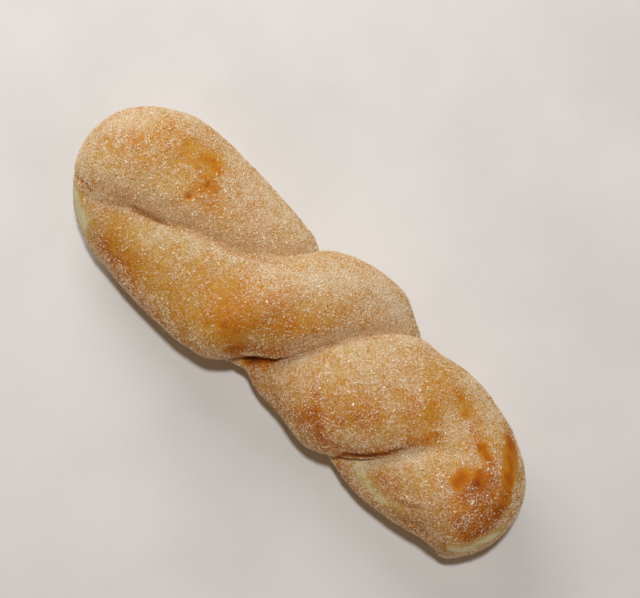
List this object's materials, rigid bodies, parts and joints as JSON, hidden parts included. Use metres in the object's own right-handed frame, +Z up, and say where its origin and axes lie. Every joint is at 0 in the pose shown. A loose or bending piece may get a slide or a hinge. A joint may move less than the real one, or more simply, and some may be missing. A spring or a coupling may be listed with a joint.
{
  "type": "twist doughnut",
  "caption": "Sugar-coated fried twist doughnut: strands of dough wound round each other into a plump rope with creased lobes and rounded ends.",
  "frame": {"origin": "on the table, under the middle of the doughnut's box", "axes": "+X along the twist towards its folded end, +Z up from the table"},
  "size_m": [0.175, 0.0596, 0.0386],
  "materials": {
    "sugared_crust": "golden brown fried crust, dusted with fine sugar",
    "sugar": "loose white sugar crystals"
  },
  "bodies": {
    "root": {"twist_doughnut": "sugared_crust"}
  },
  "joints": []
}
